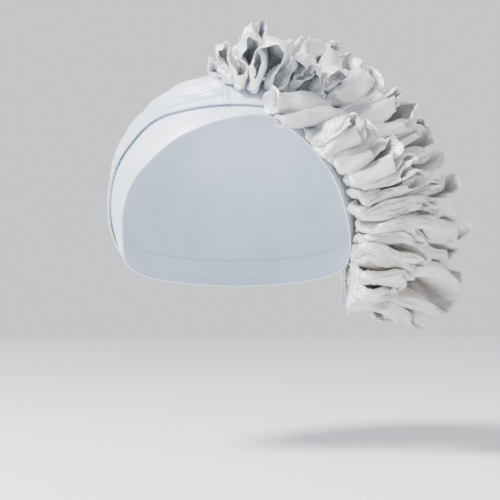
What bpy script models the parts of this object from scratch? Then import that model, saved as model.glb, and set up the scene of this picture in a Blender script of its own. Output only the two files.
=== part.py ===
"""A ready-made turban of smooth stretch cloth, with a thick gathered ruffle.

A plain band goes round the face opening. A wrap closes over the crown and laps the band, with a
few tension folds drawn towards the start of the ruffle. The ruffle is long strips of cloth, laid
in loops and sewn by one edge from the top of the forehead down the wearer's left side to below
the ear. The strip's end is rolled up at the front.

Metres, +Z up, the wearer faces -Y. The origin is the middle of the head at its widest level.
"""

import math

import bpy
import bmesh
from mathutils import Vector

# The hollow for the head, as the half axes of a rounded form
HEAD_HALF_BREADTH = 0.0813
HEAD_HALF_LENGTH = 0.0945
CROWN_HEIGHT = 0.0823
NAPE_DROP = 0.0810

# Cloth
BAND_WALL = 0.0012
WRAP_WALL = 0.0016
RUFFLE_WALL = 0.0014
TAIL_WALL = 0.0012
CLEARANCE = 0.0003
LAP_GAP = 0.0007

# How far each form stands out
TENSION_FOLD_LIFT = 0.0022
RUFFLE_REACH = 0.0650
RUFFLE_DEPTH = 0.0400
RUFFLE_HANG = 0.90
ROLL_RADIUS = 0.0085
ROLL_LENGTH = 0.0320
TAIL_WIDTH = 0.0200
TAIL_SET = 0.0060
TAIL_FLARE = 0.0110
TAIL_TOP = 122
TAIL_SWEEP = 12

# How finely each form is divided
CAP_COLUMNS = 44
BAND_RINGS = 4
TUBE_SIDES = 12
TAIL_ROWS = 3
TAIL_COLUMNS = 4

# The edge of the face and neck opening, by the bearing round the head from the front, in degrees,
# and the height of the edge as an angle above the middle of the head.
OPENING_EDGE = [
    # bearing, height
    (0, 34.8),
    (10, 33.8),
    (17, 31.5),
    (25, 27.6),
    (32, 22.0),
    (40, 14.4),
    (47, 7.0),
    (52, 0.5),
    (57, -7.0),
    (62, -14.5),
    (70, -21.0),
    (83, -27.5),
    (105, -33.5),
    (135, -37.0),
    (180, -38.5),
]

# The line where the wrap laps the band, in the same angles
LAP_LINE = [
    # bearing, height
    (0, 40.6),
    (15, 40.2),
    (30, 38.6),
    (44, 36.0),
    (52, 31.5),
    (59, 25.5),
    (66, 19.0),
    (72, 12.0),
    (77, 4.0),
    (82, -5.0),
    (88, -13.0),
    (98, -22.0),
    (118, -30.5),
    (140, -33.5),
    (180, -35.0),
]

# Rings of the wrap from its lapped edge to the crown. The lift is a share of TENSION_FOLD_LIFT.
WRAP_RINGS = [
    # share of the way up, lift
    (0.00, 0.75),
    (0.05, 1.00),
    (0.10, 0.05),
    (0.16, 0.95),
    (0.22, 0.10),
    (0.32, 0.80),
    (0.40, 0.15),
    (0.55, 0.00),
    (0.75, 0.00),
    (0.90, 0.00),
]

# How strongly the tension folds show round the head: they start at the ruffle and die away behind
FOLD_STRENGTH = [
    # bearing, share
    (-20, 0.0),
    (0, 0.0),
    (170, 0.0),
    (230, 0.45),
    (300, 1.0),
    (325, 1.0),
    (347, 0.0),
    (360, 0.0),
    (380, 0.0),
]

# Folds of the ruffle, one row each. Angles are degrees clockwise from the top as the wearer is
# faced: where the fold starts on the cap, halfway out and at its free edge. The set is how far in
# front of the head's middle the fold starts, as a share of the head's half length. Height is a
# share of RUFFLE_REACH, depth and bulge are shares of RUFFLE_DEPTH, and bend is in degrees.
FOLD_COLUMNS = ("foot", "middle", "edge", "set", "height", "bend", "depth", "bulge")

CREST_FOLDS = [
    (-5, -4, -3, 0.44, 0.20, 70, 0.36, 0.05),
    (4, 6, 7, 0.50, 0.22, 90, 0.52, 0.05),
    (14, 17, 19, 0.50, 0.20, 90, 0.56, 0.05),
    (25, 28, 30, 0.48, 0.24, 85, 0.52, 0.05),
    (35, 38, 40, 0.45, 0.26, 65, 0.46, 0.08),
]

FRONT_FOLDS = [
    (44, 48, 53, 0.58, 0.20, 20, 0.46, 0.12),
    (53, 58, 62, 0.62, 0.24, 15, 0.54, 0.14),
    (64, 67, 70, 0.62, 0.30, 12, 0.58, 0.10),
    (73, 76, 78, 0.60, 0.42, 15, 0.66, 0.12),
    (80, 82, 84, 0.57, 0.50, 12, 0.66, 0.06),
    (86, 86.5, 86, 0.54, 0.52, 12, 0.66, 0.08),
    (91, 90, 89.5, 0.50, 0.50, 15, 0.70, 0.34),
    (95, 94, 92.5, 0.47, 0.48, 15, 0.70, 0.22),
    (99, 97.5, 96, 0.44, 0.54, 15, 0.68, 0.26),
    (103, 101, 99.5, 0.42, 0.46, 15, 0.66, 0.14),
    (107, 104.5, 103, 0.41, 0.50, 15, 0.66, 0.22),
    (111, 109, 107, 0.39, 0.54, 15, 0.66, 0.28),
    (115, 113, 111, 0.36, 0.52, 12, 0.62, 0.18),
    (119, 116.5, 114.5, 0.33, 0.50, 12, 0.56, 0.16),
    (124, 120.5, 117.5, 0.30, 0.50, 10, 0.52, 0.22),
    (129.5, 125.5, 121.5, 0.27, 0.50, 10, 0.48, 0.22),
    (135, 132, 127.5, 0.25, 0.32, 8, 0.42, 0.12),
]

BACK_FOLDS = [
    (-15, -14, -13, 0.26, 0.08, 20, 0.36, 0.05),
    (-9, -8, -7, 0.24, 0.18, 20, 0.46, 0.08),
    (-2, -1, -1, 0.22, 0.30, 18, 0.56, 0.10),
    (6, 7, 7, 0.20, 0.46, 12, 0.66, 0.15),
    (13, 14, 14, 0.20, 0.36, 14, 0.66, 0.10),
    (20, 20, 20, 0.20, 0.28, 16, 0.66, 0.08),
    (27, 27, 28, 0.19, 0.34, 18, 0.68, 0.18),
    (34, 34, 35, 0.18, 0.40, 18, 0.68, 0.20),
    (41, 41, 41, 0.16, 0.42, 18, 0.70, 0.18),
    (48, 48, 48, 0.14, 0.44, 18, 0.72, 0.18),
    (55, 55, 55, 0.12, 0.48, 18, 0.74, 0.16),
    (62, 62, 61, 0.10, 0.52, 18, 0.76, 0.14),
    (69, 69, 68, 0.09, 0.54, 20, 0.78, 0.12),
    (76, 76, 75, 0.08, 0.56, 22, 0.78, 0.12),
    (83, 83, 82, 0.07, 0.66, 24, 0.78, 0.14),
    (90, 89, 88.5, 0.07, 0.75, 26, 0.78, 0.16),
    (97, 96, 95, 0.06, 0.81, 26, 0.78, 0.18),
    (104, 103, 101.5, 0.04, 0.83, 26, 0.78, 0.18),
    (111, 109.5, 108, 0.02, 0.81, 24, 0.78, 0.16),
    (117, 115.5, 113.5, -0.02, 0.79, 22, 0.74, 0.18),
    (123, 121, 118, -0.05, 0.68, 20, 0.64, 0.14),
    (129, 127, 124, -0.07, 0.50, 18, 0.54, 0.10),
]

# Half of one loop seen along the strip's height: from the middle of the turn that faces forward
# to the middle of the turn that faces back, as shares of the way across and of the loop's depth.
HALF_LOOP = [
    # across, back
    (0.00, 0.00),
    (0.50, 0.04),
    (0.74, 0.24),
    (0.26, 0.76),
    (0.50, 0.96),
    (1.00, 1.00),
]

RUFFLE_LEVELS = (0.0, 0.28, 0.62, 1.0)

# Rings along a rolled end of the strip, from its open mouth: shares of ROLL_LENGTH and ROLL_RADIUS
ROLL_RINGS = [
    # along, radius
    (0.00, 1.00),
    (0.12, 0.86),
    (0.35, 0.80),
    (0.65, 0.72),
    (1.00, 0.46),
]


# The rolled ends: where the mouth lies, how far above the cap in radii, and which way the roll runs
ROLL_COLUMNS = ("angle", "set", "lift", "heading", "back", "size", "length")
UPPER_ROLL = (21, 0.80, 0.95, 84, 0.40, 0.84, 0.8)
LOWER_ROLL = (27.7, 0.855, 1.0, 80, 0.62, 0.44, 1.25)


def clear_scene():
    for thing in list(bpy.data.objects):
        bpy.data.objects.remove(thing, do_unlink=True)


def new_collection(name):
    collection = bpy.data.collections.new(name)
    bpy.context.scene.collection.children.link(collection)
    return collection


def cloth(name, colour, roughness):
    material = bpy.data.materials.new(name)
    material.use_nodes = True
    shader = material.node_tree.nodes["Principled BSDF"]
    shader.inputs["Base Color"].default_value = (*colour, 1.0)
    shader.inputs["Roughness"].default_value = roughness
    shader.inputs["Metallic"].default_value = 0.15
    return material


def smooth_between(table, at):
    """The second column, read on a smooth curve at a value of the first, between the end rows."""
    start = 1
    while start < len(table) - 3 and at > table[start + 1][0]:
        start += 1
    before, low, high, after = table[start - 1 : start + 3]
    span = high[0] - low[0]
    part = (at - low[0]) / span
    slope_low = (high[1] - before[1]) / (high[0] - before[0]) * span
    slope_high = (after[1] - low[1]) / (after[0] - low[0]) * span
    return (
        low[1] * (2 * part**3 - 3 * part**2 + 1)
        + slope_low * (part**3 - 2 * part**2 + part)
        + high[1] * (3 * part**2 - 2 * part**3)
        + slope_high * (part**3 - part**2)
    )


def half_axes(lift, up):
    """The rounded form's half axes, with the surface lifted off the head by this much."""
    height = CROWN_HEIGHT if up else NAPE_DROP
    return HEAD_HALF_BREADTH + lift, HEAD_HALF_LENGTH + lift, height + lift


def on_cap(bearing, height, lift):
    """The point of the rounded form in this direction from the middle of the head."""
    bearing, height = math.radians(bearing), math.radians(height)
    way = Vector(
        (
            math.sin(bearing) * math.cos(height),
            -math.cos(bearing) * math.cos(height),
            math.sin(height),
        )
    )
    a, b, c = half_axes(lift, way.z >= 0)
    return way / math.sqrt((way.x / a) ** 2 + (way.y / b) ** 2 + (way.z / c) ** 2)


def cap_radius(angle, depth, lift):
    """How far the rounded form lies from the line through the head from front to back."""
    angle = math.radians(angle)
    a, b, c = half_axes(lift, math.cos(angle) >= 0)
    across = math.sqrt(max(1 - (depth / b) ** 2, 0))
    return across / math.sqrt((math.sin(angle) / a) ** 2 + (math.cos(angle) / c) ** 2)


BAND_OUTSIDE = BAND_WALL
WRAP_INSIDE = BAND_OUTSIDE + LAP_GAP
WRAP_OUTSIDE = WRAP_INSIDE + WRAP_WALL
RUFFLE_FOOT = WRAP_OUTSIDE + CLEARANCE + RUFFLE_WALL / 2
TAIL_FOOT = BAND_OUTSIDE + CLEARANCE + TAIL_WALL / 2


def loft(name, rows, wall, material, collection, offset=0.0, ringed=False, tip=None):
    """A sheet through rows of points, given its wall by Solidify."""
    shape = bmesh.new()
    made = [[shape.verts.new(point) for point in row] for row in rows]
    for below, above in zip(made, made[1:]):
        count = len(below)
        for i in range(count if ringed else count - 1):
            j = (i + 1) % count
            shape.faces.new((below[i], below[j], above[j], above[i]))
    if tip is not None:
        top = shape.verts.new(tip)
        last = made[-1]
        for i in range(len(last)):
            shape.faces.new((last[i], last[(i + 1) % len(last)], top))
    mesh = bpy.data.meshes.new(name)
    shape.to_mesh(mesh)
    shape.free()
    mesh.shade_smooth()
    mesh.set_sharp_from_angle(angle=math.radians(60))
    mesh.materials.append(material)
    piece = bpy.data.objects.new(name, mesh)
    collection.objects.link(piece)
    solid = piece.modifiers.new("wall", "SOLIDIFY")
    solid.thickness = wall
    solid.offset = offset
    solid.use_even_offset = False
    return piece


def bearings():
    return [360 * column / CAP_COLUMNS for column in range(CAP_COLUMNS)]


def mirrored(table, bearing):
    """A column that is the same on both sides of the head, level where it meets its mirror."""
    before = (2 * table[0][0] - table[1][0], table[1][1])
    after = (2 * table[-1][0] - table[-2][0], table[-2][1])
    return smooth_between([before, *table, after], min(bearing, 360 - bearing))


def forehead_band(material, collection):
    """The band round the face opening, its upper part hidden under the wrap."""
    rows = []
    for ring in range(BAND_RINGS + 1):
        share = ring / BAND_RINGS
        row = []
        for bearing in bearings():
            low = mirrored(OPENING_EDGE, bearing)
            high = mirrored(LAP_LINE, bearing) + 10
            row.append(on_cap(bearing, low + share * (high - low), 0.0))
        rows.append(row)
    return loft("forehead_band", rows, BAND_WALL, material, collection, 1.0, ringed=True)


def crown_wrap(material, collection):
    """The wrap from its lapped edge to the crown, with folds that fade away towards the back."""
    rows = []
    for share, lift in WRAP_RINGS:
        row = []
        for bearing in bearings():
            low = mirrored(LAP_LINE, bearing)
            fold = TENSION_FOLD_LIFT * lift * max(smooth_between(FOLD_STRENGTH, bearing), 0)
            row.append(on_cap(bearing, low + share * (90 - low), WRAP_INSIDE + fold))
        rows.append(row)
    tip = on_cap(0, 90, WRAP_INSIDE)
    return loft("crown_wrap", rows, WRAP_WALL, material, collection, 1.0, ringed=True, tip=tip)


def middle_of(first, second):
    return {column: (first[column] + second[column]) / 2 for column in FOLD_COLUMNS}


def strip_stations(folds):
    """Each point of the looped strip: its fold, the next turn, and how far across and back."""
    stations = []
    for i, fold in enumerate(folds):
        before = middle_of(folds[i - 1], fold) if i else None
        after = middle_of(fold, folds[i + 1]) if i + 1 < len(folds) else None
        if before:
            stations += [(fold, before, across, back) for across, back in reversed(HALF_LOOP[1:-1])]
        stations += [(fold, after or before, 0.0, 0.0)]
        if after:
            stations += [(fold, after, across, back) for across, back in HALF_LOOP[1:]]
    return stations


def seat_radius(angle, depth):
    """Where a strip starts: on the cap, and below the ear straight down from the cap's side."""
    on_surface = cap_radius(angle, depth, RUFFLE_FOOT)
    if angle <= 90:
        return on_surface
    return max(on_surface, RUFFLE_HANG * HEAD_HALF_BREADTH / math.sin(math.radians(angle)))


def strip_point(station, level):
    fold, turn, across, back = station

    def value(column, share):
        return fold[column] + share * (turn[column] - fold[column])

    def angle_of(row):
        start, middle, end = row["foot"], row["middle"], row["edge"]
        return (
            start * (1 - level) * (1 - 2 * level)
            + middle * 4 * level * (1 - level)
            + end * level * (2 * level - 1)
        )

    angle = angle_of(fold) + across * (angle_of(turn) - angle_of(fold))
    front = -value("set", back) * HEAD_HALF_LENGTH
    height = value("height", back) * RUFFLE_REACH
    bend = math.radians(value("bend", back))
    inward = value("depth", back) * RUFFLE_DEPTH * back
    bulge = value("bulge", back) * RUFFLE_DEPTH * (1 - back) * 4 * level * (1 - level)
    step = CLEARANCE
    foot = seat_radius(angle, front)
    slope = (seat_radius(angle, front + step) - foot) / step
    lean = math.atan(slope)
    tilt = lean + bend * level
    rise = (math.sin(tilt) - math.sin(lean)) / bend * height
    forward = (math.cos(lean) - math.cos(tilt)) / bend * height
    away = inward - bulge
    depth = front - forward + away * math.cos(tilt)
    foot_depth = front + inward * math.cos(lean)
    settle = seat_radius(angle, foot_depth) - foot - inward * math.sin(lean)
    radius = foot + rise + away * math.sin(tilt) + (1 - level) * settle
    turn_angle = math.radians(angle)
    return Vector((radius * math.sin(turn_angle), depth, radius * math.cos(turn_angle)))


def ruffle(name, table, material, collection):
    """One gathered strip, laid in loops and sewn by its lower edge."""
    folds = [dict(zip(FOLD_COLUMNS, row)) for row in table]
    stations = strip_stations(folds)
    rows = [[strip_point(station, level) for station in stations] for level in RUFFLE_LEVELS]
    return loft(name, rows, RUFFLE_WALL, material, collection)


def rolled_end(name, row, material, collection):
    """A rolled end of the strip: a tapering tube lying on the cap, open at its mouth."""
    roll = dict(zip(ROLL_COLUMNS, row))
    radius = ROLL_RADIUS * roll["size"]
    depth = -roll["set"] * HEAD_HALF_LENGTH
    distance = cap_radius(roll["angle"], depth, RUFFLE_FOOT) + roll["lift"] * radius
    turn = math.radians(roll["angle"])
    mouth = Vector((distance * math.sin(turn), depth, distance * math.cos(turn)))
    heading = math.radians(roll["heading"])
    way = Vector((math.sin(heading), roll["back"], math.cos(heading))).normalized()
    side = way.cross(Vector((0, 1, 0))).normalized()
    up = side.cross(way)
    rows = []
    for along, share in ROLL_RINGS:
        centre = mouth + way * along * ROLL_LENGTH * roll["length"]
        row = []
        for i in range(TUBE_SIDES):
            around = 2 * math.pi * i / TUBE_SIDES
            row.append(centre + radius * share * (side * math.cos(around) + up * math.sin(around)))
        rows.append(row)
    return loft(name, rows, RUFFLE_WALL, material, collection, ringed=True)


def side_tail(material, collection):
    """The short end of the band that shows below the ruffle, behind the cheek."""
    rows = []
    for step in range(TAIL_ROWS + 1):
        down = step / TAIL_ROWS
        row = []
        for column in range(TAIL_COLUMNS + 1):
            across = column / TAIL_COLUMNS
            depth = TAIL_SET + across * TAIL_WIDTH
            angle = TAIL_TOP + down * TAIL_SWEEP
            spread = down * (TAIL_FLARE + across * TAIL_WIDTH * 0.4)
            radius = cap_radius(angle, depth, TAIL_FOOT) + spread
            turn = math.radians(angle)
            row.append(Vector((radius * math.sin(turn), depth, radius * math.cos(turn))))
        rows.append(row)
    return loft("side_tail", rows, TAIL_WALL, material, collection)


def main():
    clear_scene()
    collection = new_collection("ruffled_turban")
    smooth = cloth("smooth_silver_cloth", (0.70, 0.74, 0.80), 0.42)
    gathered = cloth("gathered_silver_cloth", (0.76, 0.76, 0.74), 0.48)
    forehead_band(smooth, collection)
    crown_wrap(smooth, collection)
    ruffle("ruffle_crest", CREST_FOLDS, gathered, collection)
    ruffle("ruffle_front", FRONT_FOLDS, gathered, collection)
    ruffle("ruffle_back", BACK_FOLDS, gathered, collection)
    rolled_end("rolled_end", UPPER_ROLL, gathered, collection)
    rolled_end("tucked_end", LOWER_ROLL, gathered, collection)
    side_tail(smooth, collection)


main()
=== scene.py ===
import math

import bpy
import numpy as np
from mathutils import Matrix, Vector, noise


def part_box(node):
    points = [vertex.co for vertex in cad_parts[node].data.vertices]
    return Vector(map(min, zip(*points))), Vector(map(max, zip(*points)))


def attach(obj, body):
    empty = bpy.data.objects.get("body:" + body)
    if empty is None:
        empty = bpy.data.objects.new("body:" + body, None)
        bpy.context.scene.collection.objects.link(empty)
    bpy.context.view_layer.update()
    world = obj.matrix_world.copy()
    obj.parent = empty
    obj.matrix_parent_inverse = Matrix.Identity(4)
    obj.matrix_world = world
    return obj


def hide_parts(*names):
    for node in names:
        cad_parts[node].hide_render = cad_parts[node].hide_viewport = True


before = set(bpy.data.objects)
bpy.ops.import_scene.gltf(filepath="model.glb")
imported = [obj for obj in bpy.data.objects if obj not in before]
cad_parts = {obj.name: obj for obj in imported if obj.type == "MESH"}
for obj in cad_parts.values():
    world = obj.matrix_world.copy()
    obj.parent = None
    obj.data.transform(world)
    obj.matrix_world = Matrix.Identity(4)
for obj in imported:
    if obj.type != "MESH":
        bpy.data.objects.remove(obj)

noise.seed_set(12)       # the same crumples on each run
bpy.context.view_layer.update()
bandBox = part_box("forehead_band")
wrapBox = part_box("crown_wrap")
print("frame loaded")

# the rounded form inside the cap, read from the solids (metres)
cloth = {
    "band": 0.0012,
    "wrap": 0.0016,
    "lapGap": 0.0007,
    "ruffleGap": 0.0010,
    "smoothBelow": 50,       # degrees between faces
}
headForm = {
    "halfBreadth": bandBox[1][0] - cloth["band"],
    "halfLength": wrapBox[1][1] - cloth["band"] - cloth["lapGap"] - cloth["wrap"],
    "crown": wrapBox[1][2] - cloth["band"] - cloth["lapGap"] - cloth["wrap"],
    "napeDrop": 0.0810,
}
wrapInside = cloth["band"] + cloth["lapGap"]
wrapOutside = wrapInside + cloth["wrap"]


def halfAxes(lift, up):
    a = headForm["halfBreadth"] + lift
    b = headForm["halfLength"] + lift
    c = np.where(up, headForm["crown"], headForm["napeDrop"]) + lift
    return a, b, c


def onCap(bearing, height, lift):
    # bearing round the head from the front, height as an angle
    bearing, height = np.radians(bearing), np.radians(height)
    x = np.sin(bearing) * np.cos(height)
    y = -np.cos(bearing) * np.cos(height)
    z = np.sin(height)
    a, b, c = halfAxes(lift, z >= 0)
    size = 1 / np.sqrt((x / a) ** 2 + (y / b) ** 2 + (z / c) ** 2)
    return np.stack([x * size, y * size, z * size], axis=-1)


def capRadius(angle, depth, lift):
    # distance of the cap from the line through the head, front to back
    angle = np.radians(angle)
    a, b, c = halfAxes(lift, np.cos(angle) >= 0)
    across = np.sqrt(np.maximum(1 - (depth / b) ** 2, 0))
    return across / np.sqrt((np.sin(angle) / a) ** 2 + (np.cos(angle) / c) ** 2)


def smoothRead(table, at):
    # a column of a table, read on a smooth curve
    xs = np.array([row[0] for row in table], float)
    ys = np.array([row[1] for row in table], float)
    slopes = np.gradient(ys, xs)
    at = np.clip(at, xs[0], xs[-1])
    i = np.clip(np.searchsorted(xs, at) - 1, 0, len(xs) - 2)
    span = xs[i + 1] - xs[i]
    t = (at - xs[i]) / span
    return (
        ys[i] * (2 * t**3 - 3 * t**2 + 1)
        + slopes[i] * span * (t**3 - 2 * t**2 + t)
        + ys[i + 1] * (3 * t**2 - 2 * t**3)
        + slopes[i + 1] * span * (t**3 - t**2)
    )


def bothSides(table, bearing):
    before = (2 * table[0][0] - table[1][0], table[1][1])
    after = (2 * table[-1][0] - table[-2][0], table[-2][1])
    return smoothRead([before, *table, after], np.minimum(bearing, 360 - bearing))


def crumpled(points, size, amount, seed):
    # moves points by a smooth random field, the same on each run
    moved = np.empty_like(points)
    shift = Vector((seed * 7.3, seed * 3.1, seed * 5.7))
    flat = points.reshape(-1, 3)
    out = moved.reshape(-1, 3)
    for i, point in enumerate(flat):
        out[i] = noise.noise_vector(Vector(point) / size + shift)
    return moved * amount


def ridges(along, up, seed):
    # one smooth random number for each place on the cloth
    out = np.empty(along.shape)
    for i in np.ndindex(along.shape):
        out[i] = noise.noise(Vector((along[i], up[i], seed * 9.7)))
    return out


def gridNormals(points):
    du = np.gradient(points, axis=1)
    dv = np.gradient(points, axis=0)
    normal = np.cross(du, dv)
    return normal / np.maximum(np.linalg.norm(normal, axis=2, keepdims=True), 1e-12)


def gridFaces(index):
    corners = [index[:-1, :-1], index[:-1, 1:], index[1:, 1:], index[1:, :-1]]
    return np.stack(corners, axis=-1).reshape(-1, 4)


def clothPiece(name, points, wall, material, ringed=False, crowned=False, outward=0.5):
    # a closed wall of cloth round a grid of points; wall is one thickness or one for each point
    rows, columns = points.shape[:2]
    wide = np.concatenate([points[:, -1:], points, points[:, :1]], axis=1) if ringed else points
    normal = gridNormals(wide)
    if ringed:
        normal = normal[:, 1:-1]
    wall = (wall + np.zeros((rows, columns)))[:, :, None]
    front = points + normal * wall * outward
    back = points - normal * wall * (1 - outward)
    index = np.arange(rows * columns).reshape(rows, columns)
    if ringed:
        index = np.concatenate([index, index[:, :1]], axis=1)
    behind = index + rows * columns
    lowEdge = gridFaces(np.stack([behind[0], index[0]]))
    faces = [gridFaces(index), gridFaces(behind)[:, ::-1], lowEdge]
    crown = []
    if crowned:
        crown = [index[-1, :-1].tolist(), behind[-1, -2::-1].tolist()]
    else:
        faces.append(gridFaces(np.stack([index[-1], behind[-1]])))
    if not ringed:
        faces += [
            gridFaces(np.stack([index[:, 0], behind[:, 0]])),
            gridFaces(np.stack([behind[:, -1], index[:, -1]])),
        ]
    faces = np.concatenate(faces)
    stepU = np.linalg.norm(np.diff(points, axis=1), axis=2).mean(axis=0)
    stepV = np.linalg.norm(np.diff(points, axis=0), axis=2).mean(axis=1)
    u = np.concatenate([[0], np.cumsum(stepU)])
    v = np.concatenate([[0], np.cumsum(stepV)])
    place = np.stack([u[None, :] + 0 * v[:, None], v[:, None] + 0 * u[None, :]], axis=-1)
    place = np.concatenate([place.reshape(-1, 2)] * 2)
    mesh = bpy.data.meshes.new(name)
    corners = np.concatenate([front.reshape(-1, 3), back.reshape(-1, 3)])
    mesh.from_pydata(corners.tolist(), [], faces.tolist() + crown)
    used = np.array(faces.ravel().tolist() + sum(crown, []))
    layer = mesh.uv_layers.new(name="clothUV")
    layer.data.foreach_set("uv", place[used].astype(np.float32).ravel())
    mesh.materials.append(material)
    piece = bpy.data.objects.new(name, mesh)
    bpy.context.scene.collection.objects.link(piece)
    bpy.ops.object.select_all(action="DESELECT")
    piece.select_set(True)
    bpy.context.view_layer.objects.active = piece
    bpy.ops.object.mode_set(mode="EDIT")
    bpy.ops.mesh.select_all(action="SELECT")
    bpy.ops.mesh.normals_make_consistent(inside=False)
    bpy.ops.object.mode_set(mode="OBJECT")
    bpy.ops.object.shade_smooth_by_angle(angle=math.radians(cloth["smoothBelow"]))
    return piece


def declare(piece, nodes):
    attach(piece, "root")
    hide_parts(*nodes)


# Finishes


def newMaterial(name):
    material = bpy.data.materials.new(name)
    material.use_nodes = True
    return material, material.node_tree.nodes, material.node_tree.links


def noiseOnCloth(nodes, links, place, look):
    scale, detail = look
    texture = nodes.new("ShaderNodeTexNoise")
    texture.inputs["Scale"].default_value = scale
    texture.inputs["Detail"].default_value = detail
    links.new(place.outputs["Object"], texture.inputs["Vector"])
    return texture


def linesOnCloth(nodes, links, spacing, waver):
    # lines from one edge of the cloth to the other, spacing metres apart
    distortion, detailScale = waver
    uv = nodes.new("ShaderNodeUVMap")
    uv.uv_map = "clothUV"
    lines = nodes.new("ShaderNodeTexWave")
    lines.wave_type = "BANDS"
    lines.bands_direction = "X"
    lines.inputs["Scale"].default_value = 0.31416 / spacing
    lines.inputs["Distortion"].default_value = distortion
    lines.inputs["Detail Scale"].default_value = detailScale
    links.new(uv.outputs["UV"], lines.inputs["Vector"])
    return lines


def raisedBy(nodes, links, texture, look, under=None):
    strength, distance = look
    bump = nodes.new("ShaderNodeBump")
    bump.inputs["Strength"].default_value = strength
    bump.inputs["Distance"].default_value = distance
    links.new(texture.outputs["Fac"], bump.inputs["Height"])
    if under:
        links.new(under.outputs["Normal"], bump.inputs["Normal"])
    return bump


def cloudyTone(nodes, links, place, look):
    # soft clouds from the shade to the light colour
    cloud = noiseOnCloth(nodes, links, place, look["cloud"])
    tone = nodes.new("ShaderNodeValToRGB")
    for i, colour in enumerate((look["shade"], look["light"])):
        tone.color_ramp.elements[i].position = look["cloudStops"][i]
        tone.color_ramp.elements[i].color = (*colour, 1)
    links.new(cloud.outputs["Fac"], tone.inputs["Fac"])
    return tone


def silveryCloth(nodes, links, shader, texture, look):
    # how the cloth shines, with the texture's own spread of roughness
    shader.inputs["Metallic"].default_value = look["metallic"]
    shader.inputs["Sheen Weight"].default_value = look["sheen"][0]
    shader.inputs["Sheen Roughness"].default_value = look["sheen"][1]
    rough = nodes.new("ShaderNodeMapRange")
    rough.inputs["To Min"].default_value = look["roughness"][0]
    rough.inputs["To Max"].default_value = look["roughness"][1]
    links.new(texture.outputs["Fac"], rough.inputs["Value"])
    links.new(rough.outputs["Result"], shader.inputs["Roughness"])


gatheredLook = {
    "light": (0.88, 0.89, 0.89),
    "shade": (0.55, 0.57, 0.61),
    "cloud": (38, 5),                # scale and detail
    "cloudStops": (0.30, 0.62),
    # painted warm shade for the lower end of the ruffle, and the heights over which it comes in
    "paintedWarmShade": (0.97, 0.91, 0.84),
    "paintedShadeHeights": (0.075, -0.055),  # none above the first, all below the second
    "metallic": 0.38,
    "roughness": (0.30, 0.48),
    "sheen": (0.25, 0.4),            # weight and roughness
    "lineSpacing": 0.0011,
    "lineWaver": (2.2, 0.35),        # distortion and its scale
    "lineBump": (0.5, 0.0004),       # strength and depth
    "crinkle": (420, 4),
    "crinkleBump": (0.2, 0.0004),
}


def gatheredCloth():
    material, nodes, links = newMaterial("gatheredSilverCloth")
    shader = nodes["Principled BSDF"]
    look = gatheredLook
    place = nodes.new("ShaderNodeTexCoord")
    # fine pleated lines that run out along the folds
    lines = linesOnCloth(nodes, links, look["lineSpacing"], look["lineWaver"])
    bumpLines = raisedBy(nodes, links, lines, look["lineBump"])
    crinkle = noiseOnCloth(nodes, links, place, look["crinkle"])
    bumpCrinkle = raisedBy(nodes, links, crinkle, look["crinkleBump"], bumpLines)
    links.new(bumpCrinkle.outputs["Normal"], shader.inputs["Normal"])
    silveryCloth(nodes, links, shader, crinkle, look)
    tone = cloudyTone(nodes, links, place, look)
    # painted warm shade: the colour turns warmer and a little darker towards the lower end of the
    # ruffle, standing in for the warm low light
    parts = nodes.new("ShaderNodeSeparateXYZ")
    links.new(place.outputs["Object"], parts.inputs["Vector"])
    low = nodes.new("ShaderNodeMapRange")
    low.inputs["From Min"].default_value = look["paintedShadeHeights"][0]
    low.inputs["From Max"].default_value = look["paintedShadeHeights"][1]
    links.new(parts.outputs["Z"], low.inputs["Value"])
    paintedShadeMix = nodes.new("ShaderNodeMix")
    paintedShadeMix.data_type = "RGBA"
    paintedShadeMix.blend_type = "MULTIPLY"
    paintedShadeMix.inputs["B"].default_value = (*look["paintedWarmShade"], 1)
    links.new(low.outputs["Result"], paintedShadeMix.inputs["Factor"])
    links.new(tone.outputs["Color"], paintedShadeMix.inputs["A"])
    links.new(paintedShadeMix.outputs["Result"], shader.inputs["Base Color"])
    return material


smoothLook = {
    "light": (0.73, 0.79, 0.88),
    "shade": (0.60, 0.67, 0.78),
    "cloud": (22, 4),                # scale and detail
    "cloudStops": (0.30, 0.66),
    "metallic": 0.20,
    "roughness": (0.40, 0.54),
    "sheen": (0.3, 0.35),            # weight and roughness
    "threadSpacing": 0.0006,
    "threadWaver": (1.0, 1.0),       # distortion and its scale
    "threadBump": (0.12, 0.0001),    # strength and depth
    "glitter": (900, 2),
    "glitterBump": (0.35, 0.0002),
}


def smoothCloth():
    material, nodes, links = newMaterial("smoothSilverCloth")
    shader = nodes["Principled BSDF"]
    look = smoothLook
    place = nodes.new("ShaderNodeTexCoord")
    threads = linesOnCloth(nodes, links, look["threadSpacing"], look["threadWaver"])
    bumpThreads = raisedBy(nodes, links, threads, look["threadBump"])
    glitter = noiseOnCloth(nodes, links, place, look["glitter"])
    bumpGlitter = raisedBy(nodes, links, glitter, look["glitterBump"], bumpThreads)
    links.new(bumpGlitter.outputs["Normal"], shader.inputs["Normal"])
    silveryCloth(nodes, links, shader, glitter, look)
    tone = cloudyTone(nodes, links, place, look)
    links.new(tone.outputs["Color"], shader.inputs["Base Color"])
    return material


smoothFinish = smoothCloth()
gatheredFinish = gatheredCloth()
print("finishes made")

# Cap: band round the face opening and wrap over the crown

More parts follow.
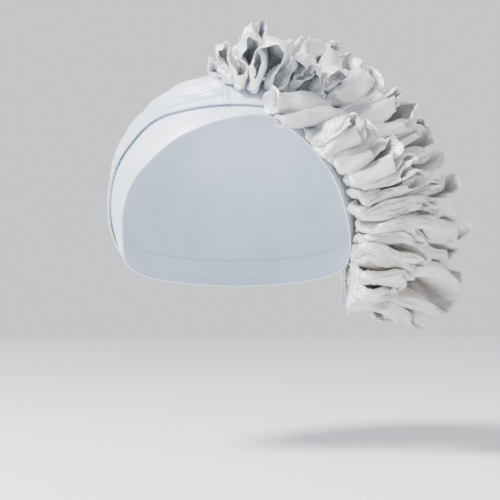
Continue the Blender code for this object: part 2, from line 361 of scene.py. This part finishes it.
openingEdge = [
    # bearing, height, to the wearer's right and then to the left
    (-180, -38.5), (-135, -37.0), (-105, -33.5), (-83, -27.5), (-70, -21.5), (-62, -14.5),
    (-57, -5.2), (-51, 4.0), (-46.5, 9.4), (-40, 14.6), (-33, 20.2), (-25, 25.5), (-17, 29.0),
    (-9, 32.0), (0, 34.2), (8, 35.6), (15, 35.6), (24, 30.2), (30, 25.4), (37, 18.0),
    (43, 10.6), (47.5, 4.0), (52.5, -3.7), (59, -11.7), (69, -20.4), (83, -27.5),
    (105, -33.5), (135, -37.0), (180, -38.5),
]
lapLine = [
    # bearing, height
    (0, 40.6), (15, 40.2), (30, 38.6), (44, 36.2), (52, 31.7), (58.5, 25.5), (66, 19.2),
    (72, 13.0), (77, 5.0), (82, -5.0), (88, -13.0), (98, -22.0), (118, -30.5),
    (140, -33.5), (180, -35.0),
]
bandSizes = {
    "columns": 288,
    "rings": 22,
    "wall": 0.0009,
    "underlap": 10,          # degrees under the wrap
    "hemWidth": 0.010,
    "hemLift": 0.0004,
    "hemStep": 0.0015,
}


def makeBand():
    sizes = bandSizes
    bearing = np.arange(sizes["columns"]) * 360 / sizes["columns"]
    low = smoothRead(openingEdge, (bearing + 180) % 360 - 180)
    high = bothSides(lapLine, bearing) + sizes["underlap"]
    share = np.linspace(0, 1, sizes["rings"] + 1)[:, None]
    height = low + share * (high - low)
    fromEdge = np.radians(height - low) * headForm["halfBreadth"]
    hem = sizes["hemLift"] * np.clip((sizes["hemWidth"] - fromEdge) / sizes["hemStep"], 0, 1)
    points = onCap(bearing + 0 * share, height, hem)
    band = clothPiece("foreheadBand", points, sizes["wall"], smoothFinish, ringed=True, outward=1.0)
    declare(band, ["forehead_band"])


wrapSizes = {
    "columns": 380,
    "rings": 124,
    "ringSpread": 1.2,       # more rings near the lap
    "topRing": 0.998,
    "wall": 0.0010,
    "lapRoll": 0.0007,
    "lapRollWidth": 1.0,     # degrees
    "wavesFrom": 4,          # degrees above the lap
    "waves": (0.045, 0.0008),
}
# folds drawn from the start of the ruffle round the wearer's right side
tensionFolds = [
    # path of (bearing, height), width in degrees, lift
    (
        [
            (-2, 47.0), (-19, 46.5), (-30, 45.4), (-40, 42.8),
            (-54, 38.4), (-66, 33.0), (-80, 21.0), (-100, 2.0),
        ],
        0.80, 0.0023,
    ),
    (
        [
            (-2, 49.5), (-19, 49.8), (-32, 49.6), (-46, 47.5),
            (-62, 43.0), (-82, 33.0), (-104, 18.0),
        ],
        0.95, 0.0022,
    ),
    ([(-6, 54.0), (-24, 56.5), (-44, 56.5), (-70, 51.0), (-100, 38.0)], 1.4, 0.0018),
    ([(-14, 60.0), (-40, 64.0), (-75, 62.0), (-115, 50.0)], 2.6, 0.0012),
]
foldLook = {
    "fades": (25, 6),        # degrees at the far end and at the ruffle
    "widens": 0.3,
    "groove": 0.75,
    "grooveSet": 1.6,
    "gatherSlant": 0.25,
}
# short upright gathers where the wrap runs under the ruffle
gathers = [
    # bearing, height of the middle, half length, width, lift
    (-5.5, 47.0, 6.0, 0.7, 0.0020),
    (-8.5, 49.0, 7.0, 0.7, 0.0022),
    (-11.5, 52.0, 8.0, 0.7, 0.0024),
    (-14.5, 54.0, 8.0, 0.8, 0.0020),
    (-18.0, 57.0, 9.0, 0.9, 0.0016),
    (-22.5, 61.0, 9.0, 1.2, 0.0012),
]


def makeWrap():
    sizes = wrapSizes
    bearing = np.arange(sizes["columns"]) * 360 / sizes["columns"]
    low = bothSides(lapLine, bearing)
    share = np.linspace(0, 1, sizes["rings"] + 1)[:, None] ** sizes["ringSpread"]
    share[-1] = sizes["topRing"]
    height = low + share * (90 - low)
    signed = (bearing + 180) % 360 - 180 + 0 * share
    fromLap = (height - low) / sizes["lapRollWidth"]
    lift = wrapInside + sizes["lapRoll"] * np.exp(-fromLap**2)
    fadeFar, fadeNear = foldLook["fades"]
    for path, width, rise in tensionFolds:
        ends = sorted(path)
        crest = smoothRead(ends, signed)
        inside = np.clip((signed - ends[0][0]) / fadeFar, 0, 1)
        inside = inside * np.clip((ends[-1][0] - signed) / fadeNear, 0, 1)
        wide = width * (1 + foldLook["widens"] * np.clip(-signed / 90, 0, 1))
        away = (height - crest) / wide
        groove = foldLook["groove"] * np.exp(-((away + foldLook["grooveSet"]) ** 2))
        lift = lift + rise * inside * (np.exp(-(away**2)) - groove)
    for middle, up, half, width, rise in gathers:
        along = (height - up) / half
        across = signed - middle + foldLook["gatherSlant"] * (height - up)
        across = across * np.cos(np.radians(height)) / width
        lift = lift + rise * np.exp(-(across**2) - along**4)
    points = onCap(bearing + 0 * share, height, lift)
    level = np.clip((height - low) / sizes["wavesFrom"], 0, 1)[:, :, None]
    points = points + level * crumpled(points, *sizes["waves"], 40)
    wrap = clothPiece(
        "crownWrap", points, sizes["wall"], smoothFinish, ringed=True, crowned=True, outward=1.0
    )
    declare(wrap, ["crown_wrap"])


makeBand()
makeWrap()
print("cap made")

# Ruffle: strips laid in loops, each row a fold. Angles are degrees clockwise from the top.

foldColumns = ("foot", "middle", "edge", "set", "height", "bend", "depth", "bulge")
crestFolds = [
    (-9, -8.5, -8, 0.42, 0.08, 50, 0.24, 0.02),
    (-4, -4, -4, 0.55, 0.15, 65, 0.48, 0.05),
    (2, 2, 2, 0.63, 0.18, 70, 0.64, 0.05),
    (8, 9, 9.5, 0.64, 0.20, 75, 0.70, 0.05),
    (16, 18, 19, 0.58, 0.20, 85, 0.66, 0.05),
    (24, 26, 27, 0.52, 0.22, 85, 0.50, 0.05),
    (30, 32, 33, 0.46, 0.24, 80, 0.52, 0.05),
    (38, 41, 43, 0.44, 0.26, 65, 0.46, 0.08),
]
frontFolds = [
    (42, 47, 52, 0.74, 0.24, 20, 0.66, 0.12),
    (52, 57, 61, 0.76, 0.28, 15, 0.80, 0.14),
    (63, 66, 70, 0.73, 0.33, 12, 0.84, 0.10),
    (73, 76, 78, 0.67, 0.40, 15, 0.84, 0.12),
    (80, 82, 84, 0.62, 0.48, 12, 0.80, 0.06),
    (86, 86.5, 86, 0.59, 0.50, 12, 0.80, 0.08),
    (91, 90, 89.5, 0.53, 0.50, 15, 0.80, 0.30),
    (95, 94, 92.5, 0.49, 0.46, 15, 0.76, 0.20),
    (99.5, 97.5, 96, 0.46, 0.56, 15, 0.74, 0.26),
    (103, 101, 99.5, 0.43, 0.46, 15, 0.68, 0.14),
    (107, 104.5, 103, 0.42, 0.48, 15, 0.66, 0.20),
    (111, 109, 107, 0.40, 0.54, 15, 0.64, 0.26),
    (115, 113, 111, 0.37, 0.52, 12, 0.60, 0.18),
    (119, 116.5, 114.5, 0.34, 0.50, 12, 0.54, 0.16),
    (124, 120.5, 117.5, 0.31, 0.50, 10, 0.50, 0.22),
    (129, 125, 121.5, 0.28, 0.46, 10, 0.46, 0.22),
    (133.5, 130, 126, 0.26, 0.28, 8, 0.42, 0.12),
]
backFolds = [
    (-5, -4, -3, 0.28, 0.08, 20, 0.50, 0.08),
    (0, 1, 1.5, 0.24, 0.26, 18, 0.56, 0.10),
    (5, 5, 4.5, 0.20, 0.50, 12, 0.66, 0.15),
    (11.5, 11.5, 11, 0.20, 0.32, 14, 0.66, 0.10),
    (19.5, 19.5, 20, 0.24, 0.29, 16, 0.70, 0.08),
    (27, 27, 28, 0.27, 0.40, 18, 0.76, 0.18),
    (35, 35, 36, 0.30, 0.385, 18, 0.82, 0.20),
    (43, 43, 43, 0.32, 0.36, 18, 0.94, 0.18),
    (50, 50, 50, 0.33, 0.32, 18, 1.00, 0.18),
    (57, 57, 57, 0.33, 0.44, 18, 1.02, 0.16),
    (64, 64, 63, 0.31, 0.47, 18, 1.03, 0.14),
    (71, 71, 70, 0.28, 0.40, 20, 1.04, 0.12),
    (78, 78, 77, 0.25, 0.37, 22, 1.04, 0.12),
    (85, 84, 83.5, 0.22, 0.45, 24, 1.02, 0.14),
    (92, 91, 90, 0.19, 0.59, 26, 0.98, 0.16),
    (99, 97.5, 96.5, 0.15, 0.66, 26, 0.94, 0.18),
    (106, 104.5, 103, 0.11, 0.65, 26, 0.90, 0.18),
    (112, 110.5, 109, 0.07, 0.74, 24, 0.84, 0.16),
    (118, 116.5, 115, 0.02, 0.77, 22, 0.76, 0.18),
    (124, 122, 120, -0.03, 0.60, 20, 0.64, 0.14),
    (128.5, 126.5, 124.5, -0.06, 0.38, 18, 0.54, 0.10),
]
ruffleSizes = {
    "reach": 0.065,
    "depth": 0.040,
    "hang": 0.90,
    "turnFrom": 0.66,
    "wall": 0.0008,
    "outerWall": 0.0010,
    "wallGrowth": 1.6,
    "edgeRound": (0.92, 0.082),      # share of the height where it starts, and its length
    "pointsPerHalfLoop": 14,
    "levels": 18,
}
# half a loop seen along the strip's height, forward turn to back turn
halfLoop = [
    # across, back
    (0.00, 0.00), (0.48, 0.02), (0.80, 0.12), (0.86, 0.32), (0.50, 0.50),
    (0.14, 0.68), (0.20, 0.88), (0.52, 0.98), (1.00, 1.00),
]


def loopCurve(count):
    # the half loop as a smooth curve, mirrored at both turns
    before = (-halfLoop[1][0], halfLoop[1][1])
    after = (2 - halfLoop[-2][0], halfLoop[-2][1])
    knots = np.array([before, *halfLoop, after])
    at = np.linspace(1, len(knots) - 2, count + 1)
    i = np.minimum(at.astype(int), len(knots) - 3)
    t = (at - i)[:, None]
    p0, p1, p2, p3 = knots[i - 1], knots[i], knots[i + 1], knots[i + 2]
    return 0.5 * (
        2 * p1
        + (p2 - p0) * t
        + (2 * p0 - 5 * p1 + 4 * p2 - p3) * t**2
        + (3 * p1 - p0 - 3 * p2 + p3) * t**3
    )


def seatRadius(angle, depth):
    foot = wrapOutside + cloth["ruffleGap"]
    onSurface = capRadius(angle, depth, foot)
    slope = np.maximum(np.sin(np.radians(angle)), 0.3)
    below = ruffleSizes["hang"] * headForm["halfBreadth"] / slope
    return np.where(angle > 90, np.maximum(onSurface, below), onSurface)


def stripPoints(table, levels, close):
    # a row of points for each level, from the cap to the free edge, which close turns in
    folds = np.array(table, float)
    turns = (folds[1:] + folds[:-1]) / 2
    half = loopCurve(ruffleSizes["pointsPerHalfLoop"])
    own, other, across, back = [], [], [], []
    for i in range(len(folds)):
        if i > 0:
            own += [folds[i]] * (len(half) - 2)
            other += [turns[i - 1]] * (len(half) - 2)
            across += list(half[-2:0:-1, 0])
            back += list(half[-2:0:-1, 1])
        if i + 1 < len(folds):
            own += [folds[i]] * len(half)
            other += [turns[i]] * len(half)
            across += list(half[:, 0])
            back += list(half[:, 1])
    own += [folds[-1]]
    other += [turns[-1]]
    across += [0.0]
    back += [0.0]
    own, other = np.array(own), np.array(other)
    across, back = np.array(across), np.array(back)
    level = np.linspace(0, 1, levels + 1)[:, None]

    def value(column):
        k = foldColumns.index(column)
        return own[:, k] + back * (other[:, k] - own[:, k])

    def angleOf(rows):
        return (
            rows[:, 0] * (1 - level) * (1 - 2 * level)
            + rows[:, 1] * 4 * level * (1 - level)
            + rows[:, 2] * level * (2 * level - 1)
        )

    angle = angleOf(own) + across * (angleOf(other) - angleOf(own))
    front = -value("set") * headForm["halfLength"]
    height = value("height") * ruffleSizes["reach"]
    bend = np.radians(value("bend"))
    inward = value("depth") * ruffleSizes["depth"] * back
    turnFrom = ruffleSizes["turnFrom"]
    turned = np.clip((level - turnFrom) / (1 - turnFrom), 0, 1) * close
    closing = (1 - np.cos(turned * math.pi / 2)) * value("depth") * ruffleSizes["depth"] * (1 - back)
    reach = level - (1 - turnFrom) * (turned - np.sin(turned * math.pi / 2) * 2 / math.pi)
    reach = reach / reach[-1]
    bulge = value("bulge") * ruffleSizes["depth"] * (1 - back) * 4 * level * (1 - level)
    step = 0.0003
    foot = seatRadius(angle, front)
    lean = np.arctan((seatRadius(angle, front + step) - foot) / step)
    tilt = lean + bend * reach
    rise = (np.sin(tilt) - np.sin(lean)) / bend * height
    forward = (np.cos(lean) - np.cos(tilt)) / bend * height
    away = inward - bulge + closing
    depth = front - forward + away * np.cos(tilt)
    settle = seatRadius(angle, front + inward * np.cos(lean)) - foot - inward * np.sin(lean)
    radius = foot + rise + away * np.sin(tilt) + (1 - level) * settle
    turn = np.radians(angle)
    return np.stack([radius * np.sin(turn), depth, radius * np.cos(turn)], axis=-1), level


clothLook = {
    "scale": 10.0,
    "frames": 16,
    "quality": 3,
    "growth": 0.28,
    "gravity": 0.25,
    "stiffness": 12.0,
    "bending": 0.25,
    "mass": 0.3,
    "airDamping": 4.0,
    "apart": 0.016,
    "offCap": 0.008,
    "capColumns": 72,
    "capRings": 60,
    "capThickness": 0.006,
    "capFriction": 20,
}
crumpleLook = {
    "freeing": 3,                # how soon above the gathered edge the cloth is free
    "swing": (0.036, 0.0075),    # wave size and movement
    "buckle": (0.015, 0.0022),
    "softening": 0.25,
    "creaseWidth": 0.0048,
    "creaseBreaks": 2,
    "creaseSharpness": 0.8,
    "creaseHeight": 0.0004,
}


def crumple(points, level, seed):
    # wide swings that neighbouring folds share
    look = crumpleLook
    free = np.clip(level * look["freeing"], 0, 1)[:, :, None]
    points = points + free * crumpled(points, look["swing"][0], look["swing"][1], seed)
    return points + free * crumpled(points, look["buckle"][0], look["buckle"][1], seed + 1)


def capCollider():
    # the cap's outside, for the cloth to lie on
    look = clothLook
    columns = look["capColumns"]
    bearing = np.arange(columns) * (360 / columns)
    height = np.linspace(-89, 89, look["capRings"])[:, None] + 0 * bearing
    points = onCap(bearing + 0 * height, height, wrapOutside) * look["scale"]
    index = np.arange(points.shape[0] * columns).reshape(-1, columns)
    index = np.concatenate([index, index[:, :1]], axis=1)
    mesh = bpy.data.meshes.new("capCollider")
    mesh.from_pydata(points.reshape(-1, 3).tolist(), [], gridFaces(index).tolist())
    collider = bpy.data.objects.new("capCollider", mesh)
    bpy.context.scene.collection.objects.link(collider)
    collider.modifiers.new("solidCap", "COLLISION")
    collider.collision.thickness_outer = look["capThickness"]
    collider.collision.cloth_friction = look["capFriction"]
    return collider


def settleTogether(grids):
    # lets the strips swell, crumple and lie against each other, with their gathered edges held
    look = clothLook
    scale = look["scale"]
    collider = capCollider()
    vertices, faces, pins, start = [], [], [], 0
    for points in grids:
        rows, columns = points.shape[:2]
        index = start + np.arange(rows * columns).reshape(rows, columns)
        vertices.append(points.reshape(-1, 3) * scale)
        faces.append(gridFaces(index))
        pins += index[:2].ravel().tolist()
        start += rows * columns
    mesh = bpy.data.meshes.new("looseStrips")
    mesh.from_pydata(np.concatenate(vertices).tolist(), [], np.concatenate(faces).tolist())
    loose = bpy.data.objects.new("looseStrips", mesh)
    bpy.context.scene.collection.objects.link(loose)
    held = loose.vertex_groups.new(name="held")
    held.add(pins, 1.0, "REPLACE")
    sim = loose.modifiers.new("settle", "CLOTH")
    sim.point_cache.frame_start = 1
    sim.point_cache.frame_end = look["frames"]
    sim.settings.quality = look["quality"]
    sim.settings.mass = look["mass"]
    sim.settings.air_damping = look["airDamping"]
    sim.settings.tension_stiffness = look["stiffness"]
    sim.settings.compression_stiffness = look["stiffness"]
    sim.settings.shear_stiffness = look["stiffness"] / 2
    sim.settings.bending_stiffness = look["bending"]
    sim.settings.vertex_group_mass = "held"
    sim.settings.shrink_min = -look["growth"]
    sim.settings.shrink_max = -look["growth"]
    sim.settings.effector_weights.gravity = look["gravity"]
    sim.collision_settings.use_collision = True
    sim.collision_settings.distance_min = look["offCap"]
    sim.collision_settings.use_self_collision = True
    sim.collision_settings.self_distance_min = look["apart"]
    sim.collision_settings.collision_quality = 1
    scene = bpy.context.scene
    for frameNumber in range(1, look["frames"] + 1):
        scene.frame_set(frameNumber)
    settled = loose.evaluated_get(bpy.context.evaluated_depsgraph_get()).data
    places = np.empty(len(settled.vertices) * 3, np.float32)
    settled.vertices.foreach_get("co", places)
    places = places.astype(float).reshape(-1, 3) / scale
    bpy.data.objects.remove(loose)
    bpy.data.objects.remove(collider)
    scene.frame_set(1)
    out, start = [], 0
    for points in grids:
        count = points.shape[0] * points.shape[1]
        out.append(places[start:start + count].reshape(points.shape))
        start += count
    return out


def finer(points):
    # twice as many points along the second axis, on a smooth curve
    before = 2 * points[:, :1] - points[:, 1:2]
    after = 2 * points[:, -1:] - points[:, -2:-1]
    wide = np.concatenate([before, points, after], axis=1)
    middle = (9 * (wide[:, 1:-2] + wide[:, 2:-1]) - wide[:, :-3] - wide[:, 3:]) / 16
    fine = np.empty((points.shape[0], 2 * points.shape[1] - 1, 3))
    fine[:, ::2] = points
    fine[:, 1::2] = middle
    return fine


def softened(points):
    # takes the jagged steps out of the settled cloth
    share = crumpleLook["softening"]
    out = points.copy()
    out[1:-1] += share * (points[:-2] + points[2:] - 2 * points[1:-1])
    out[:, 1:-1] += share * (points[:, :-2] + points[:, 2:] - 2 * points[:, 1:-1])
    return out


def creased(points, seed):
    # sharp little ridges that run out along the cloth
    look = crumpleLook
    normal = gridNormals(points)
    steps = np.diff(points[0], axis=0, prepend=points[0][:1])
    along = np.cumsum(np.linalg.norm(steps, axis=1))[None, :]
    level = np.linspace(0, 1, len(points))[:, None]
    across = along / look["creaseWidth"] + 0 * level
    creases = ridges(across, level * look["creaseBreaks"] + 0 * along, seed)
    lift = look["creaseHeight"] * (1 - 2 * np.abs(creases) ** look["creaseSharpness"])
    return points + normal * lift[:, :, None]


ruffleStrips = [
    # name, node, folds, turned in, flat size, seed
    ("ruffleCrest", "ruffle_crest", crestFolds, 0.3, (0.62, 0.021), 3),
    ("ruffleFront", "ruffle_front", frontFolds, 0.7, (1.40, 0.033), 11),
    ("ruffleBack", "ruffle_back", backFolds, 0.7, (1.85, 0.044), 23),
]


def makeRuffle():
    sizes = ruffleSizes
    grids = []
    for name, node, table, close, flat, seed in ruffleStrips:
        points, level = stripPoints(table, sizes["levels"], close)
        grids.append(crumple(points, level, seed))
    grids = settleTogether(grids)
    for points, (name, node, table, close, flat, seed) in zip(grids, ruffleStrips):
        points = finer(softened(points))
        points = finer(points.transpose(1, 0, 2)).transpose(1, 0, 2)
        points = creased(points, seed)
        level = np.linspace(0, 1, len(points))[:, None]
        roundFrom, roundOver = sizes["edgeRound"]
        edge = np.sqrt(1 - np.clip((level - roundFrom) / roundOver, 0, 1) ** 2)
        growth = np.clip(level * sizes["wallGrowth"], 0, 1)
        wall = sizes["wall"] + (sizes["outerWall"] - sizes["wall"]) * growth
        strip = clothPiece(name, points, wall * edge, gatheredFinish)
        declare(strip, [node])
        print(name, "made")


makeRuffle()
print("ruffle made")

# Rolled ends at the front: the middle line of each, then how thick it is

rollLooks = {
    "upper": {
        # x, y, z, half width, half height
        "line": [
            (0.0225, -0.0750, 0.0615, 0.0074, 0.0076), (0.0265, -0.0728, 0.0608, 0.0066, 0.0068),
            (0.0330, -0.0690, 0.0606, 0.0060, 0.0062), (0.0420, -0.0630, 0.0610, 0.0060, 0.0062),
            (0.0500, -0.0560, 0.0600, 0.0052, 0.0056), (0.0570, -0.0480, 0.0580, 0.0040, 0.0044),
        ],
        "turns": 1.22,
        "crumple": 0.0022,
    },
    "lower": {
        "line": [
            (0.0262, -0.0790, 0.0490, 0.0022, 0.0036), (0.0300, -0.0782, 0.0488, 0.0034, 0.0044),
            (0.0380, -0.0740, 0.0502, 0.0040, 0.0050), (0.0470, -0.0680, 0.0520, 0.0042, 0.0050),
            (0.0570, -0.0600, 0.0538, 0.0038, 0.0046), (0.0660, -0.0500, 0.0550, 0.0028, 0.0034),
        ],
        "turns": 1.15,
        "crumple": 0.0016,
    },
}
rollSizes = {
    "wall": 0.0008,
    "around": 72,
    "along": 44,
    "firstTurn": 2.2,            # radians round the roll where the cloth starts
    "lap": (0.45, 0.30),         # turns of it, and how far it tucks in
    "waves": [(0.10, 2, 7), (0.05, 5, -9)],      # size, then waves round and along
    "mouth": (0.12, 0.05),       # how much wider, over which share of the length
    "ragged": (0.0022, 1.5, 0.12),
    "crumpleSize": 0.011,
}


def makeRoll(name, node, look, seed):
    # cloth rolled up round a bent line, its free edge lapping the roll
    sizes = rollSizes
    line = np.array(look["line"])
    stops = np.linspace(0, 1, len(line))
    at = np.linspace(0, 1, sizes["along"] + 1)
    read = np.stack([smoothRead(list(zip(stops, line[:, k])), at) for k in range(5)], axis=-1)
    way = np.gradient(read[:, :3], axis=0)
    way /= np.linalg.norm(way, axis=1, keepdims=True)
    side = np.cross(way, (0.0, 0.0, 1.0))
    side /= np.linalg.norm(side, axis=1, keepdims=True)
    up = np.cross(side, way)
    turn = np.linspace(0, 2 * math.pi * look["turns"], sizes["around"] + 1) + sizes["firstTurn"]
    lapTurns, lapTuck = sizes["lap"]
    turned = np.linspace(0, look["turns"], len(turn))
    inward = 1 - lapTuck * np.clip((turned - look["turns"] + lapTurns) / lapTurns, 0, 1)
    spread = 1
    for size, roundRoll, alongRoll in sizes["waves"]:
        spread = spread + size * np.sin(roundRoll * turn[None, :] + alongRoll * at[:, None])
    spread = spread * inward[None, :]
    wider, over = sizes["mouth"]
    mouth = 1 + wider * np.exp(-at / over)[:, None]
    points = (
        read[:, None, :3]
        + (read[:, 3:4] * spread * mouth * np.cos(turn))[:, :, None] * side[:, None, :]
        + (read[:, 4:5] * spread * mouth * np.sin(turn))[:, :, None] * up[:, None, :]
    )
    size, roundRoll, over = sizes["ragged"]
    ragged = size * np.sin(roundRoll * turn) * np.exp(-at / over)[:, None]
    ragged = ragged[:, :, None] * way[:, None, :]
    points = points + ragged + crumpled(points, sizes["crumpleSize"], look["crumple"], seed)
    points = creased(points, seed)
    roll = clothPiece(name, points, sizes["wall"], gatheredFinish)
    declare(roll, [node])


makeRoll("rolledEnd", "rolled_end", rollLooks["upper"], 5)
makeRoll("tuckedEnd", "tucked_end", rollLooks["lower"], 6)

# Short end of cloth below the ruffle

tailSizes = {
    "width": 0.020,
    "set": 0.006,
    "flare": 0.011,
    "slant": 0.4,
    "top": 122,              # degrees from the top of the head, as for the ruffle
    "sweep": 12,
    "gap": 0.0009,
    "wall": 0.0009,
    "rows": 25,
    "columns": 21,
}


def makeTail():
    sizes = tailSizes
    down = np.linspace(0, 1, sizes["rows"])[:, None]
    across = np.linspace(0, 1, sizes["columns"])[None, :]
    depth = sizes["set"] + across * sizes["width"] + 0 * down
    angle = sizes["top"] + down * sizes["sweep"] + 0 * across
    radius = capRadius(angle, depth, cloth["band"] + sizes["gap"])
    radius = radius + down * (sizes["flare"] + across * sizes["width"] * sizes["slant"])
    turn = np.radians(angle)
    points = np.stack([radius * np.sin(turn), depth, radius * np.cos(turn)], axis=-1)
    tail = clothPiece("sideTail", points, sizes["wall"], smoothFinish)
    declare(tail, ["side_tail"])


makeTail()
print("ends made")

# Stage, light and camera

stageLook = {"size": 3.0, "floor": -0.165, "colour": (0.78, 0.79, 0.81), "roughness": 0.9}
roomLook = {"colour": (0.80, 0.82, 0.86), "strength": 1.25}
lamps = [
    # name, place, size, power, colour
    ("windowLight", (-0.75, -0.55, 0.95), 0.40, 62, (1.0, 1.0, 1.0)),
    ("fillLight", (1.2, -0.9, 0.1), 0.8, 4, (1.0, 0.97, 0.94)),
]
cameraView = {
    "distance": 1.10,
    "frameWidth": 0.3275,
    "aim": (0.0088, 0.0, -0.0302),
    "sensor": 36,
}


def makeStage():
    bpy.ops.object.select_all(action="DESELECT")
    bpy.ops.mesh.primitive_plane_add(size=stageLook["size"], location=(0, 0, stageLook["floor"]))
    floor = bpy.context.active_object
    floor.name = "paleFloor"
    bpy.ops.object.transform_apply(location=True, rotation=True, scale=True)
    material, nodes, links = newMaterial("palePaper")
    shader = nodes["Principled BSDF"]
    shader.inputs["Base Color"].default_value = (*stageLook["colour"], 1)
    shader.inputs["Roughness"].default_value = stageLook["roughness"]
    floor.data.materials.append(material)


def addLight(name, place, size, power, colour):
    data = bpy.data.lights.new(name, "AREA")
    data.size = size
    data.energy = power
    data.color = colour
    lamp = bpy.data.objects.new(name, data)
    lamp.location = place
    aim = Vector(cameraView["aim"]) - Vector(place)
    lamp.rotation_euler = aim.to_track_quat("-Z", "Y").to_euler()
    bpy.context.scene.collection.objects.link(lamp)


def makeLights():
    world = bpy.data.worlds.new("paleRoom")
    world.use_nodes = True
    background = world.node_tree.nodes["Background"]
    background.inputs["Color"].default_value = (*roomLook["colour"], 1)
    background.inputs["Strength"].default_value = roomLook["strength"]
    bpy.context.scene.world = world
    for lamp in lamps:
        addLight(*lamp)


def makeCamera():
    data = bpy.data.cameras.new("photoCamera")
    aim = Vector(cameraView["aim"])
    data.sensor_width = cameraView["sensor"]
    data.lens = cameraView["sensor"] * cameraView["distance"] / cameraView["frameWidth"]
    camera = bpy.data.objects.new("photoCamera", data)
    camera.location = aim + Vector((0, -cameraView["distance"], 0))
    camera.rotation_euler = (math.radians(90), 0, 0)
    bpy.context.scene.collection.objects.link(camera)
    bpy.context.scene.camera = camera


makeStage()
makeLights()
makeCamera()
print("stage made")
